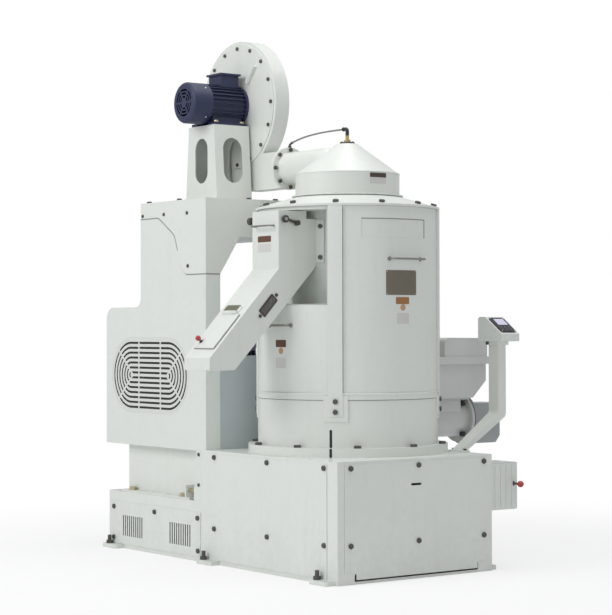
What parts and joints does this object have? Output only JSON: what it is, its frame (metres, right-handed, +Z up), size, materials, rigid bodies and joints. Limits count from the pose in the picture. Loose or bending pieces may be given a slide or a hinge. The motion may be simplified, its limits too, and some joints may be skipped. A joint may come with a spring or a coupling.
{
  "type": "rice milling machine",
  "caption": "Vertical rice whitener: round milling tower on a welded base, belt drive beside it, blower and air pipe above, slanted outlet chute in front, feed hopper behind.",
  "frame": {"origin": "on the milling spindle's axis, at floor level", "axes": "+X right along the front (away from the motor side), +Y to the rear, +Z up"},
  "size_m": [1.6629, 1.438, 2.11],
  "materials": {
    "frame_paint": "semi-gloss greenish off-white paint",
    "cover_paint": "semi-gloss greenish off-white paint on rolled sheet",
    "inner_paint": "dull paint inside the machine",
    "motor_blue": "dark blue enamel",
    "grille_paint": "satin grey paint",
    "dark_steel": "blackened fasteners",
    "zinc_steel": "yellow zinc plate",
    "bright_steel": "plain bright steel",
    "shaft_steel": "ground steel",
    "cast_grey": "machined grey iron",
    "emery": "coarse vitrified emery, opaque",
    "belt_rubber": "matt black",
    "black_plastic": "matt black",
    "red_plastic": "glossy red",
    "clear_glass": "clear pane",
    "hose": "grey hose",
    "brass": "plain brass",
    "screen_face": "black bezel with a pale screen"
  },
  "bodies": {
    "machine_frame": {"main_base": "frame_paint", "base_panels": "cover_paint", "motor_base": "frame_paint", "motor_plinth": "frame_paint", "levelling_bolts": "dark_steel", "plinth_bolts": "zinc_steel", "panel_bolts": "dark_steel", "main_motor": "motor_blue", "motor_housing": "frame_paint", "drive_belts": "belt_rubber", "motor_cover": "cover_paint", "motor_grille": "grille_paint", "fan_platform": "frame_paint", "column_uprights": "frame_paint", "fan_pedestal": "frame_paint", "fan_motor": "motor_blue", "fan_motor_cowl": "motor_blue", "fan_casing": "frame_paint", "fan_cover": "frame_paint", "fan_inlet": "frame_paint", "air_hood": "frame_paint", "air_line_fittings": "brass", "air_line": "hose", "lower_shell": "frame_paint", "tower_posts": "frame_paint", "tower_bolts": "dark_steel", "front_cover": "cover_paint", "rear_covers": "cover_paint", "bow_handles": "bright_steel", "tower_crown": "frame_paint", "outlet_bay": "inner_paint", "feed_chamber": "inner_paint", "screen_cage": "bright_steel", "bearing_housing": "cast_grey", "outlet_chute": "frame_paint", "sight_glass": "clear_glass", "feed_tube": "frame_paint", "feed_clamps": "black_plastic", "gearmotor": "cast_grey", "hopper": "frame_paint", "control_stand": "frame_paint", "control_screen": "screen_face", "residue_box": "frame_paint"},
    "spindle_unit": {"spindle_shaft": "shaft_steel", "tower_pulley": "cast_grey", "screw_roll": "cast_grey", "roller_hub": "cast_grey", "emery_rollers": "emery"},
    "motor_rotor": {"motor_pulley": "cast_grey"},
    "fan_rotor": {"fan_shaft": "shaft_steel", "impeller": "bright_steel"},
    "feed_rotor": {"feed_screw": "bright_steel"},
    "sample_lid": {"chute_lid": "cover_paint", "lid_knob": "red_plastic"},
    "pressure_flap": {"pressure_gate": "bright_steel", "gate_lever": "bright_steel"},
    "side_door": {"right_door": "cover_paint", "right_door_handle": "bright_steel"},
    "residue_flap": {"residue_door": "cover_paint", "residue_knob": "red_plastic"}
  },
  "joints": [
    {"name": "spindle_spin", "type": "hinge", "parent": "machine_frame", "child": "spindle_unit", "pos_m": [0, 0, 0.35], "axis": [0, 0, 1], "continuous": true},
    {"name": "motor_spin", "type": "hinge", "parent": "machine_frame", "child": "motor_rotor", "pos_m": [-0.773, -0.109, 0.35], "axis": [0, 0, 1], "continuous": true},
    {"name": "fan_spin", "type": "hinge", "parent": "machine_frame", "child": "fan_rotor", "pos_m": [-0.64, -0.045, 1.84], "axis": [0, 1, 0], "continuous": true},
    {"name": "feed_spin", "type": "hinge", "parent": "machine_frame", "child": "feed_rotor", "pos_m": [0, 0.4, 0.555], "axis": [0, 1, 0], "continuous": true},
    {"name": "sample_lid_hinge", "type": "hinge", "parent": "machine_frame", "child": "sample_lid", "pos_m": [0, -0.55355, 0.98109], "axis": [-1, 0, 0], "range_deg": [0, 105]},
    {"name": "pressure_gate_hinge", "type": "hinge", "parent": "machine_frame", "child": "pressure_flap", "pos_m": [0, -0.369, 1.331], "axis": [-1, 0, 0], "range_deg": [0, 40]},
    {"name": "side_door_slide", "type": "slide", "parent": "machine_frame", "child": "side_door", "axis": [1, 0, 0], "range_m": [0, 0.25]},
    {"name": "residue_door_hinge", "type": "hinge", "parent": "machine_frame", "child": "residue_flap", "pos_m": [0.451, 0.337, 0.315], "axis": [0, 0, -1], "range_deg": [0, 90]}
  ],
  "couplings": [
    {"joint": "motor_spin", "follows": "spindle_spin", "ratio": 1.535}
  ]
}
